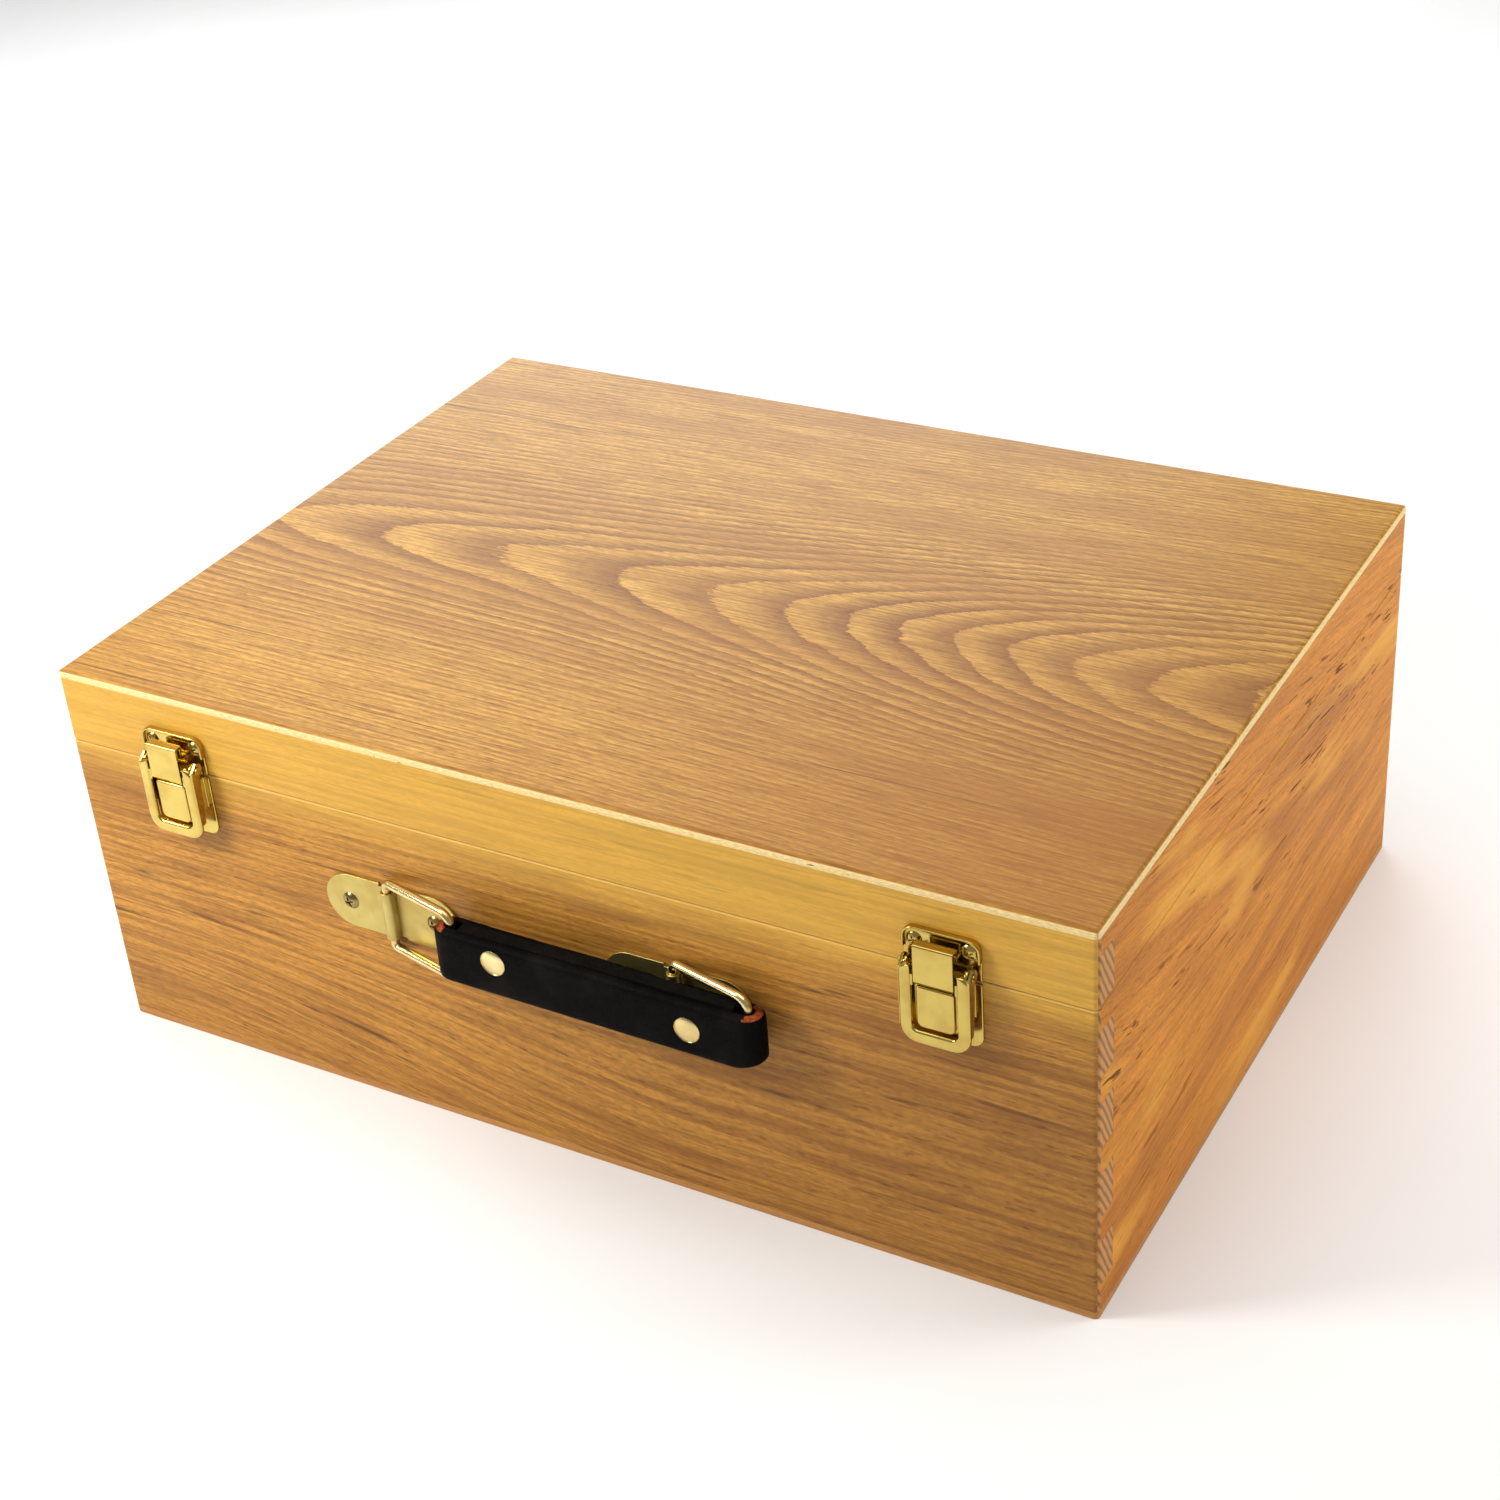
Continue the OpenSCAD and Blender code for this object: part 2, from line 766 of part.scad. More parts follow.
hinge_leaf(-hinge_x, 1);  // hinge_lid_leaf_left
hinge_leaf(hinge_x, 1);  // hinge_lid_leaf_right
color(BRASS) on_back() at_hinge_screws(1) screw(small_head_r, small_head_h);  // hinge_lid_screws
stay_stud(-1, split_z + stay_rise);  // stay_pivot_left
stay_stud(1, split_z + stay_rise);  // stay_pivot_right
stay_arm(-1);  // stay_arm_left
stay_arm(1);  // stay_arm_right
latch_lever(-latch_x);  // latch_lever_left
latch_lever(latch_x);  // latch_lever_right
latch_link_pin(-latch_x);  // latch_link_pin_left
latch_link_pin(latch_x);  // latch_link_pin_right
latch_link(-latch_x);  // latch_link_left
latch_link(latch_x);  // latch_link_right
handle_ring(knuckles[0]);  // handle_ring_left
handle_ring(knuckles[1]);  // handle_ring_right
handle_strap();
handle_strap_filler();
handle_rivets();
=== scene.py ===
"""Looks of the wooden art supply box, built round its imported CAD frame.

Metres, in the row frame: +X to the right, +Y to the hinged back, +Z up, the front face at -Y.
Places come from the frame's nodes. Grain patterns count in millimetres along, across and through
each board, so that they carry on from the body into the lid over the saw cut.
"""

import json
import math

import bmesh
import bpy
from mathutils import Matrix, Vector, noise

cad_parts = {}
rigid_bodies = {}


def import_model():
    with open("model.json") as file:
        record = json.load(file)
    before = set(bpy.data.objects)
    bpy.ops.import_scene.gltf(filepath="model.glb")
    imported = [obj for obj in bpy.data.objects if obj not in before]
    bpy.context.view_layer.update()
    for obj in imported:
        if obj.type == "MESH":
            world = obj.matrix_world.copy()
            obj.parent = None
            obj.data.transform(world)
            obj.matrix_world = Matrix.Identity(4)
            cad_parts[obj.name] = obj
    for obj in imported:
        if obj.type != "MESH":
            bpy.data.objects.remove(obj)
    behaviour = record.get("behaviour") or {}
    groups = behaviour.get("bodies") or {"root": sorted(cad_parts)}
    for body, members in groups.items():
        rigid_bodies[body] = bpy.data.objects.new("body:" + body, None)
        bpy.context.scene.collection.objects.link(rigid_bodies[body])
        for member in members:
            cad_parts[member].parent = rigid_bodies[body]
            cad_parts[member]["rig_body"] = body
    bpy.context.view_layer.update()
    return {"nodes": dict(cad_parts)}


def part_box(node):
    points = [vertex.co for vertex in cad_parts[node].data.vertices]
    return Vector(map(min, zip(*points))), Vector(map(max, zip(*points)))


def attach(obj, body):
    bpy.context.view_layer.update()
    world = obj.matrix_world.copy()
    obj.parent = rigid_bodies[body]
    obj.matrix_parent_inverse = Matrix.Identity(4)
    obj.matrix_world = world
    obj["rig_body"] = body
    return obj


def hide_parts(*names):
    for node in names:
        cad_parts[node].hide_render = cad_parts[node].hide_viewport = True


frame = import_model()

MM = 0.001
TAU = math.tau


# ---- the frame's measures ----

def low(node):
    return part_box(node)[0]


def high(node):
    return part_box(node)[1]


def middle(node):
    return (low(node) + high(node)) / 2


FRONT_Y = low("lid_front_rail").y
BACK_Y = high("lid_back_rail").y
SIDE_X = high("lid_top_panel").x
SPLIT_Z = (high("body_front_board").z + low("lid_front_rail").z) / 2
TOP_Z = high("lid_top_panel").z


# ---- node graphs ----

# The mix node's sockets when it mixes colours.
MIX_SHARE, MIX_FIRST, MIX_SECOND, MIX_RESULT = 0, 6, 7, 2


def srgb(r, g, b):
    """A display colour, each part 0 to 255, as scene-linear values."""
    parts = [v / 255 for v in (r, g, b)]
    linear = [v / 12.92 if v <= 0.04045 else ((v + 0.055) / 1.055) ** 2.4 for v in parts]
    return (*linear, 1.0)


class Graph:
    """One material's node tree, with a short call for each kind of node used here."""

    def __init__(self, name):
        self.material = bpy.data.materials.new(name)
        self.material.use_nodes = True
        self.tree = self.material.node_tree
        self.surface = self.tree.nodes["Principled BSDF"]

    def put(self, socket, value):
        if isinstance(value, bpy.types.NodeSocket):
            self.tree.links.new(value, socket)
        else:
            socket.default_value = value

    def set(self, name, value):
        self.put(self.surface.inputs[name], value)

    def math(self, operation, a, b=0.0):
        node = self.tree.nodes.new("ShaderNodeMath")
        node.operation = operation
        self.put(node.inputs[0], a)
        self.put(node.inputs[1], b)
        return node.outputs[0]

    def add(self, a, b):
        return self.math("ADD", a, b)

    def times(self, a, b):
        return self.math("MULTIPLY", a, b)

    def fit(self, value, from_low, from_high, to_low=0.0, to_high=1.0):
        """A value moved from one range to another, smoothly and without going outside it."""
        node = self.tree.nodes.new("ShaderNodeMapRange")
        node.interpolation_type = "SMOOTHSTEP"
        for socket, v in zip(node.inputs[:5], (value, from_low, from_high, to_low, to_high)):
            self.put(socket, v)
        return node.outputs[0]

    def mix(self, share, a, b):
        node = self.tree.nodes.new("ShaderNodeMix")
        node.data_type = "RGBA"
        self.put(node.inputs[MIX_SHARE], share)
        self.put(node.inputs[MIX_FIRST], a)
        self.put(node.inputs[MIX_SECOND], b)
        return node.outputs[MIX_RESULT]

    def ramp(self, value, stops):
        """A value read off a list of (place, value) stops."""
        node = self.tree.nodes.new("ShaderNodeValToRGB")
        marks = node.color_ramp.elements
        while len(marks) < len(stops):
            marks.new(0.5)
        for mark, (place, grey) in zip(marks, stops):
            mark.position = place
            mark.color = (grey, grey, grey, 1.0)
        self.put(node.inputs[0], value)
        return node.outputs[0]

    def join(self, x, y, z):
        node = self.tree.nodes.new("ShaderNodeCombineXYZ")
        for socket, v in zip(node.inputs, (x, y, z)):
            self.put(socket, v)
        return node.outputs[0]

    def noise(self, where, scale=1.0, detail=2.0):
        node = self.tree.nodes.new("ShaderNodeTexNoise")
        self.put(node.inputs["Vector"], where)
        self.put(node.inputs["Scale"], scale)
        self.put(node.inputs["Detail"], detail)
        return node.outputs[0]

    def cells(self, where, scale):
        node = self.tree.nodes.new("ShaderNodeTexVoronoi")
        self.put(node.inputs["Vector"], where)
        self.put(node.inputs["Scale"], scale)
        return node.outputs["Distance"]

    def place(self):
        """The point on the object at rest, in metres."""
        return self.tree.nodes.new("ShaderNodeTexCoord").outputs["Object"]

    def place_mm(self):
        """The point on the object at rest, as three values in millimetres."""
        node = self.tree.nodes.new("ShaderNodeSeparateXYZ")
        self.put(node.inputs[0], self.place())
        return [self.times(out, 1000.0) for out in node.outputs]

    def bump(self, height, distance, strength=1.0):
        node = self.tree.nodes.new("ShaderNodeBump")
        self.put(node.inputs["Height"], height)
        node.inputs["Distance"].default_value = distance
        node.inputs["Strength"].default_value = strength
        self.put(self.surface.inputs["Normal"], node.outputs[0])


# ---- wood ----

# Shades of a wood: its pale wood, its dark rings and its pores.
FRONT_SHADES = (srgb(210, 150, 60), srgb(122, 72, 24), srgb(70, 40, 14))
SIDE_SHADES = (srgb(225, 146, 34), srgb(152, 84, 12), srgb(74, 36, 8))
TOP_SHADES = (srgb(220, 168, 74), srgb(120, 67, 18), srgb(66, 36, 14))
PALE_PLY = (srgb(232, 192, 126), srgb(200, 148, 84), srgb(130, 88, 48))
BROWN_PLY = (srgb(196, 142, 78), srgb(150, 98, 48), srgb(96, 60, 28))

# Grain is drawn in millimetres, so the edges it meets are needed in them too.
SIDE_MM = SIDE_X / MM
FRONT_MM = FRONT_Y / MM
BACK_MM = BACK_Y / MM
SPLIT_MM = SPLIT_Z / MM
TOP_MM = TOP_Z / MM


class Board:
    """A piece of wood in a graph. axes names its along, across and through directions, such as
    "xzy". Every pattern follows across, so bending that bends the whole figure."""

    def __init__(self, graph, axes, seed):
        place = graph.place_mm()
        self.graph = graph
        self.seed = seed
        self.along, self.across, self.through = (place["xyz".index(a)] for a in axes)

    def bend(self, amount):
        self.across = self.graph.add(self.across, amount)

    def grow(self, heart, pitch, taper, lean=0.0, wave=0.5, uneven=1.6, surge=0.0):
        """Lays out the rings round heart, the place across and through the board of the tree's
        middle. taper is how fast their radius changes along the grain, lean is the middle's drift
        across per millimetre along, and surge is a count of rings to add."""
        g = self.graph
        slow = self.stretched(130.0, 26.0, 3.0)
        quick = self.stretched(34.0, 5.0, 2.0)
        c = g.add(g.add(self.across, -heart[0]), g.times(self.along, -lean))
        d = g.add(self.through, -heart[1])
        radius = g.math("SQRT", g.add(g.times(c, c), g.times(d, d)))
        count = g.times(g.add(radius, g.times(self.along, -taper)), 1.0 / pitch)
        count = g.add(g.add(count, surge), g.times(g.add(slow, -0.5), 4.0 * wave))
        count = g.add(count, g.times(g.add(quick, -0.5), 0.5 * wave))
        spread = g.noise(g.join(g.times(count, 0.45), self.seed, 0.0), detail=1.0)
        self.count = g.add(count, g.times(spread, uneven))
        self.off_heart = g.math("ABSOLUTE", c)

    def stretched(self, along, across, detail, offset=0.0):
        """Noise whose blotches are this many millimetres long and wide. Each offset along the
        grain gives another pattern."""
        g = self.graph
        where = g.join(
            g.add(g.times(self.along, 1.0 / along), self.seed + offset),
            g.times(self.across, 1.0 / across),
            g.times(self.through, 1.0 / across),
        )
        return g.noise(where, detail=detail)

    def rings(self, jag):
        """1 at the sharp dark side of each ring, fading to 0 on its pale side."""
        g = self.graph
        ragged = self.stretched(4.0, 0.9, 3.0, 7.0)
        place = g.math("FRACT", g.add(self.count, g.times(g.add(ragged, -0.5), jag)))
        fade = [(0.0, 1.0), (0.12, 0.85), (0.4, 0.5), (0.68, 0.06), (0.97, 0.0), (1.0, 0.7)]
        return g.ramp(place, fade)

    def strength(self, weakest):
        """How dark each whole ring is, from weakest to 1."""
        g = self.graph
        own = g.noise(g.join(g.times(g.math("FLOOR", self.count), 3.7), self.seed, 0.0))
        return g.fit(own, 0.3, 0.7, weakest, 1.0)


def paint_wood(board, shades, ring_depth, fibre_depth, pore_depth, jag=0.35, weakest=0.45):
    """Colour and relief of a board: rings, long and short fibres, and pores that crowd in rings."""
    g = board.graph
    pale, dark, pore = shades
    rings = g.times(board.rings(jag), board.strength(weakest))
    colour = g.mix(g.times(rings, ring_depth), pale, dark)
    fibres = board.stretched(30.0, 1.1, 4.0, 3.0)
    colour = g.mix(g.fit(fibres, 0.36, 0.72, 0.0, fibre_depth), colour, dark)
    felt = board.stretched(3.5, 0.8, 2.0, 17.0)
    colour = g.mix(g.fit(felt, 0.36, 0.66, 0.0, fibre_depth * 0.5), colour, dark)
    short = board.stretched(6.0, 0.6, 2.0, 11.0)
    pores = g.times(g.fit(short, 0.58, 0.7), g.add(g.times(rings, 0.65), 0.35))
    colour = g.mix(g.times(pores, pore_depth), colour, pore)
    relief = g.add(g.times(fibres, -0.5), g.times(pores, -1.0))
    return colour, relief


def finish_wood(g, colour, relief, gloss=0.42, sheen=0.22):
    g.set("Base Color", colour)
    g.set("Specular IOR Level", sheen)
    g.set("Roughness", g.fit(relief, -1.2, 0.0, gloss + 0.16, gloss))
    g.bump(relief, 0.00006, 0.6)
    return g.material


def painted_cut_highlight(g, colour, share):
    """Painted highlight: a paler colour along the edges of the saw cut, where their rounding catches the
    light.
    """
    height = g.place_mm()[2]
    away = g.math("ABSOLUTE", g.add(height, -SPLIT_MM))
    return g.mix(g.fit(away, 0.6, 0.8, share, 0.0), colour, srgb(246, 210, 124))


def near_rim(g, off_middle):
    """1 within about half a millimetre of the box's sides, 0 further in."""
    return g.fit(off_middle, SIDE_MM - 0.6, SIDE_MM - 0.4)


def end_grain(g, colour):
    """Slanting ring ends where a front or back board shows at the side."""
    x, y, z = g.place_mm()
    bent = g.noise(g.join(0.0, g.times(y, 0.06), g.times(z, 0.035)), detail=2.0)
    lines = g.math("SINE", g.add(g.add(g.times(y, 2.0), g.times(z, 1.15)), g.times(bent, 12.0)))
    hatch = g.mix(g.fit(lines, -0.5, 0.9), srgb(196, 138, 66), srgb(142, 92, 42))
    return g.mix(near_rim(g, g.math("ABSOLUTE", x)), colour, hatch)


def front_wood(name, through, seed):
    """Boards whose grain runs from side to side and dips across their lower half. They are paler up at
    the lid and browner to the right and down at the foot; the paler lid and the browner lower right are
    partly the wood's own tone and partly painted light and shade."""
    g = Graph(name)
    board = Board(g, "xzy", seed)
    height = board.across
    rail = g.fit(height, 104.0, 130.0)
    lower_right_tone_and_shade = g.times(g.fit(board.along, -80.0, 190.0), g.fit(height, 128.0, 84.0))
    board.bend(g.times(g.fit(board.along, -200.0, 60.0, 0.0, 30.0), g.fit(height, 90.0, 8.0)))
    board.grow((-8.0, through), 3.4, -0.02, lean=0.01, wave=0.5)
    colour, relief = paint_wood(board, FRONT_SHADES, 0.6, 0.6, 0.75, weakest=0.1)
    streaks = board.stretched(120.0, 7.0, 3.0, 21.0)
    colour = g.mix(g.fit(streaks, 0.5, 0.7, 0.0, 0.5), colour, srgb(130, 78, 28))
    strokes = board.stretched(46.0, 2.4, 2.0, 27.0)
    colour = g.mix(g.fit(strokes, 0.64, 0.73, 0.0, 0.65), colour, FRONT_SHADES[2])
    foot = g.fit(board.across, 70.0, 0.0)
    colour = g.mix(g.times(foot, 0.2), colour, srgb(122, 74, 26))
    # Browner towards the lower right: partly the wood's own tone and partly painted shade where the light
    # falls off.
    colour = g.mix(g.times(lower_right_tone_and_shade, 0.36), colour, srgb(116, 70, 34))
    # Paler towards the lid: partly the wood's own tone and partly painted light falling on the upper
    # front.
    colour = g.mix(g.times(rail, 0.48), colour, srgb(240, 192, 78))
    # Painted highlight along the edges of the saw cut.
    return finish_wood(g, end_grain(g, painted_cut_highlight(g, colour, 0.4)), relief)


def side_wood(name, through, seed):
    """Boards with a soft figure and dark slits, whose grain runs from front to back."""
    g = Graph(name)
    board = Board(g, "yzx", seed)
    height = board.across
    board.bend(g.times(g.times(board.along, 0.2), g.fit(height, 30.0, 130.0, -0.2, 1.0)))
    board.grow((40.0, through), 6.5, 0.05, wave=1.1)
    colour, relief = paint_wood(board, SIDE_SHADES, 0.36, 0.45, 0.4, jag=0.8, weakest=0.2)
    cloud = board.stretched(120.0, 14.0, 3.0, 31.0)
    colour = g.mix(g.fit(cloud, 0.45, 0.68, 0.0, 0.5), colour, SIDE_SHADES[1])
    pale = board.stretched(90.0, 24.0, 2.0, 41.0)
    colour = g.mix(g.fit(pale, 0.52, 0.68, 0.0, 0.55), colour, srgb(240, 176, 60))
    colour = g.mix(g.fit(height, 26.0, 0.0, 0.0, 0.3), colour, SIDE_SHADES[1])
    slit = side_slits(board, height)
    colour = g.mix(g.times(slit, 0.9), colour, SIDE_SHADES[2])
    relief = g.add(relief, g.times(slit, -1.5))
    # Painted highlight along the edges of the saw cut.
    return finish_wood(g, painted_cut_highlight(g, colour, 0.12), relief, sheen=0.1)


def side_slits(board, height):
    """Short dark slits in patches, more of them towards the lid."""
    g = board.graph
    slits = board.stretched(16.0, 1.7, 2.0, 51.0)
    zone = g.fit(board.stretched(50.0, 24.0, 1.0, 61.0), 0.4, 0.56)
    zone = g.times(zone, g.fit(height, 66.0, 96.0, 0.4, 1.0))
    return g.times(g.fit(slits, 0.62, 0.68), zone)


def top_wood():
    """The top panel: an ash veneer with a cathedral figure, on plywood that shows below it."""
    g = Graph("top_veneer")
    board = Board(g, "xyz", 4.0)
    surge = g.math("SINE", g.times(g.add(board.along, -82.0), TAU / (2 * SIDE_MM)))
    surge = g.times(surge, -0.95)
    board.grow((-9.5, 38.0), 1.84, 0.057, lean=0.02, wave=0.3, uneven=0.5, surge=surge)
    figure = g.fit(board.off_heart, 84.0, 50.0, 0.5, 0.95)
    veneer, relief = paint_wood(board, TOP_SHADES, figure, 0.6, 0.7, jag=0.3, weakest=0.6)
    veneer = tone_veneer(board, veneer)
    core, core_relief = panel_core(board)
    height = g.place_mm()[2]
    colour = g.mix(g.fit(height, TOP_MM - 0.9, TOP_MM - 0.5), core, veneer)
    return finish_wood(g, colour, g.add(relief, core_relief), 0.4)


def tone_veneer(board, colour):
    """Broad brown bands, a browner front right corner that is painted shade where the light falls off,
    and thin dark lines off the heart.
    """
    g = board.graph
    tone = board.stretched(260.0, 24.0, 2.0, 71.0)
    colour = g.mix(g.fit(tone, 0.42, 0.66, 0.0, 0.4), colour, srgb(156, 102, 40))
    # Painted shade: the front right corner darkens where the light falls off.
    corner = g.times(g.fit(board.along, -80.0, 190.0), g.fit(board.across, 60.0, -120.0))
    colour = g.mix(g.times(corner, 0.55), colour, srgb(148, 88, 24))
    lines = board.stretched(400.0, 1.6, 1.0, 81.0)
    lines = g.times(g.fit(lines, 0.7, 0.78), g.fit(board.off_heart, 60.0, 80.0))
    return g.mix(g.times(lines, 0.6), colour, TOP_SHADES[2])


def panel_core(board):
    """Colour and relief below the veneer: cut plies round the rim, a pale lining underneath."""
    g = board.graph
    x, y, _ = g.place_mm()
    off_middle = g.math("ABSOLUTE", x)
    off_middle_end = g.add(g.math("ABSOLUTE", y), SIDE_MM - BACK_MM)
    rim = near_rim(g, g.math("MAXIMUM", off_middle, off_middle_end))
    plies, relief = ply_edge(g)
    bands = board.stretched(50.0, 2.5, 3.0, 91.0)
    lining = g.mix(g.fit(bands, 0.35, 0.7), PALE_PLY[0], PALE_PLY[1])
    return g.mix(rim, lining, plies), g.times(relief, rim)


def ply_edge(g):
    """Pale core wood with faint plies and a few tiny dark voids."""
    x, y, z = g.place_mm()
    along = g.add(x, y)
    fine = g.noise(g.join(g.times(along, 0.5), g.times(z, 3.0), 0.0), detail=3.0)
    colour = g.mix(g.fit(fine, 0.3, 0.7), srgb(244, 222, 160), srgb(222, 190, 122))
    void = g.noise(g.join(g.times(along, 0.22), g.times(z, 1.1), 5.0), detail=1.0)
    void = g.fit(void, 0.73, 0.78)
    colour = g.mix(void, colour, srgb(92, 60, 28))
    return colour, g.times(void, -2.0)


def ply_wood(name, axes, seed, shades=PALE_PLY):
    """Plywood for the bottom and the dividers."""
    g = Graph(name)
    board = Board(g, axes, seed)
    board.grow((-60.0, -40.0), 9.0, 0.05, wave=1.0)
    colour, relief = paint_wood(board, shades, 0.35, 0.3, 0.25, jag=0.6)
    return finish_wood(g, colour, relief, 0.5)


# ---- metal and leather ----

def brass(name, shade, rough):
    """Rolled brass with faint duller clouds and a fine grain."""
    g = Graph(name)
    where = g.place()
    cloud = g.noise(where, 90.0, 3.0)
    fine = g.noise(where, 1400.0, 2.0)
    tarnish = g.fit(cloud, 0.35, 0.7, 0.0, 0.5)
    g.set("Base Color", g.mix(tarnish, shade, srgb(176, 142, 70)))
    g.set("Metallic", 1.0)
    g.set("Roughness", g.fit(g.add(cloud, g.times(fine, 0.4)), 0.4, 1.0, rough, rough + 0.12))
    g.bump(g.add(cloud, g.times(fine, 0.2)), 0.00002, 0.25)
    return g.material


def black_leather():
    """Finely grained black leather, browner where it is worn."""
    g = Graph("black_leather")
    where = g.place()
    grain = g.cells(where, 1500.0)
    creases = g.noise(where, 260.0, 3.0)
    worn = g.fit(g.noise(where, 60.0, 4.0), 0.45, 0.75)
    g.set("Base Color", g.mix(worn, srgb(6, 5, 5), srgb(21, 17, 14)))
    g.set("Roughness", g.fit(g.add(grain, creases), 0.4, 1.2, 0.44, 0.62))
    g.set("Specular IOR Level", 0.04)
    g.bump(g.add(grain, g.times(creases, 0.9)), 0.00018, 0.6)
    return g.material


def raw_leather(name, shade, dark):
    """The cut edge of leather: short fibres, darker where the dye crept in."""
    g = Graph(name)
    where = g.place()
    fibres = g.noise(where, 1100.0, 3.0)
    patches = g.noise(where, 260.0, 3.0)
    colour = g.mix(g.fit(patches, 0.42, 0.62), shade, dark)
    g.set("Base Color", g.mix(g.fit(fibres, 0.4, 0.7, 0.0, 0.5), colour, dark))
    g.set("Roughness", g.fit(fibres, 0.3, 0.7, 0.75, 0.92))
    g.set("Specular IOR Level", 0.08)
    g.bump(fibres, 0.0002, 0.8)
    return g.material


def floor_look():
    g = Graph("floor")
    mottle = g.noise(g.place(), 3.0, 3.0)
    g.set("Base Color", g.mix(g.fit(mottle, 0.3, 0.7), srgb(246, 246, 246), srgb(242, 242, 242)))
    g.set("Roughness", g.fit(mottle, 0.3, 0.7, 0.75, 0.85))
    return g.material


def backdrop_look():
    """Glows by itself with the tone of the far floor."""
    g = Graph("backdrop")
    mottle = g.noise(g.place(), 0.4, 2.0)
    g.set("Base Color", (0.0, 0.0, 0.0, 1.0))
    g.set("Specular IOR Level", 0.0)
    glow = g.mix(g.fit(mottle, 0.3, 0.7), srgb(224, 224, 224), srgb(227, 227, 227))
    g.set("Emission Color", glow)
    g.set("Emission Strength", 1.0)
    return g.material


# ---- pieces ----

SHARP_IN_CAD = math.radians(32)
SHARP_IN_SWEEPS = math.radians(40)


def add_piece(name, mesh, node, slot, *looks):
    """A new object that stands for a CAD node and rides on its body."""
    piece = bpy.data.objects.new(name, mesh)
    bpy.context.scene.collection.objects.link(piece)
    for look in looks:
        mesh.materials.append(look)
    for face in mesh.polygons:
        face.use_smooth = True
    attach(piece, frame["nodes"][node]["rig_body"])
    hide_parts(node)
    return piece


def clean_copy(node):
    """A CAD node's mesh with whole flat faces, ready for rounding."""
    mesh = bmesh.new()
    mesh.from_mesh(frame["nodes"][node].data)
    bmesh.ops.remove_doubles(mesh, verts=mesh.verts, dist=1e-6)
    bmesh.ops.dissolve_limit(mesh, angle_limit=math.radians(0.5), verts=mesh.verts, edges=mesh.edges)
    return mesh


def eased(node, slot, look, width, wide=0.0, wide_at=None):
    """A CAD node with its sharp edges rounded to width, or to wide where wide_at says so."""
    shape = clean_copy(node)
    weight = shape.edges.layers.float.new("bevel_weight_edge")
    widest = max(width, wide)
    for edge in shape.edges:
        if len(edge.link_faces) != 2 or edge.calc_face_angle() < SHARP_IN_CAD:
            continue
        chosen = wide if wide_at and all(wide_at(v.co) for v in edge.verts) else width
        edge[weight] = chosen / widest
    name = node + "_eased"
    piece = add_piece(name, to_mesh(shape, name), node, slot, look)
    bevel = piece.modifiers.new("round", "BEVEL")
    bevel.limit_method = "WEIGHT"
    bevel.width = widest
    bevel.segments = 3
    bevel.use_clamp_overlap = False
    normals = piece.modifiers.new("normals", "WEIGHTED_NORMAL")
    normals.keep_sharp = True


def bridge(mesh, first, second):
    """Faces between two closed rows of points."""
    for k in range(len(first)):
        m = (k + 1) % len(first)
        mesh.faces.new((first[k], first[m], second[m], second[k]))


def swept(rows, closed_path):
    """A mesh from rows of points, each row a closed outline, joined one after another."""
    mesh = bmesh.new()
    made = [[mesh.verts.new(p) for p in row] for row in rows]
    for first, second in zip(made, made[1:]):
        bridge(mesh, first, second)
    if closed_path:
        bridge(mesh, made[-1], made[0])
    else:
        mesh.faces.new(made[0][::-1])
        mesh.faces.new(made[-1])
    bmesh.ops.recalc_face_normals(mesh, faces=mesh.faces)
    return mesh


def join(shape, rows):
    """Adds another closed body to a mesh."""
    extra = to_mesh(swept(rows, False), "extra")
    shape.from_mesh(extra)
    bpy.data.meshes.remove(extra)


def sharpen(piece):
    """Marks the sharp edges, so that the rest can be shaded smoothly."""
    shape = bmesh.new()
    shape.from_mesh(piece.data)
    for edge in shape.edges:
        edge.smooth = edge.calc_face_angle(0) < SHARP_IN_SWEEPS
    shape.to_mesh(piece.data)
    shape.free()


def to_mesh(shape, name):
    mesh = bpy.data.meshes.new(name)
    shape.to_mesh(mesh)
    shape.free()
    return mesh


# ---- case ----

def at_saw_cut(point):
    """True on the outer edges on either side of the saw cut."""
    rim = 3 * MM
    near = abs(point.z - SPLIT_Z) < 0.3 * MM
    at_side = abs(point.x) > SIDE_X - rim
    return near and (at_side or point.y < FRONT_Y + rim or point.y > BACK_Y - rim)


def build_case():
    """Boards, panels and dividers. A board and the rail above it share one look, as one plank."""
    front = front_wood("front_wood", FRONT_MM + 34.0, 2.0)
    back = front_wood("back_wood", BACK_MM - 30.0, 15.0)
    right = side_wood("right_wood", SIDE_MM + 26.0, 8.0)
    left = side_wood("left_wood", -SIDE_MM - 30.0, 27.0)
    boards = [
        ("body_front_board", front), ("lid_front_rail", front),
        ("body_back_board", back), ("lid_back_rail", back),
        ("body_right_board", right), ("lid_right_rail", right),
        ("body_left_board", left), ("lid_left_rail", left),
    ]
    for node, look in boards:
        eased(node, "case_wood", look, 0.12 * MM, 0.5 * MM, at_saw_cut)
    eased("lid_top_panel", "top_veneer", top_wood(), 0.15 * MM)
    eased("bottom_panel", "plywood", ply_wood("bottom_ply", "xyz", 3.0, BROWN_PLY), 0.3 * MM)
    eased("long_divider", "plywood", ply_wood("long_ply", "xzy", 9.0), 0.5 * MM)
    for side in ("left", "right"):
        look = ply_wood("short_ply_" + side, "yzx", 12.0)
        eased("short_divider_" + side, "plywood", look, 0.5 * MM)


# ---- hardware ----

def at_link_bend(point):
    """True where the link's front turns back into its lip."""
    top = high("latch_link_left").z
    front = low("latch_link_left").y
    return abs(point.z - top) < 0.2 * MM and abs(point.y - front) < 0.2 * MM


ARC_STEPS = 8


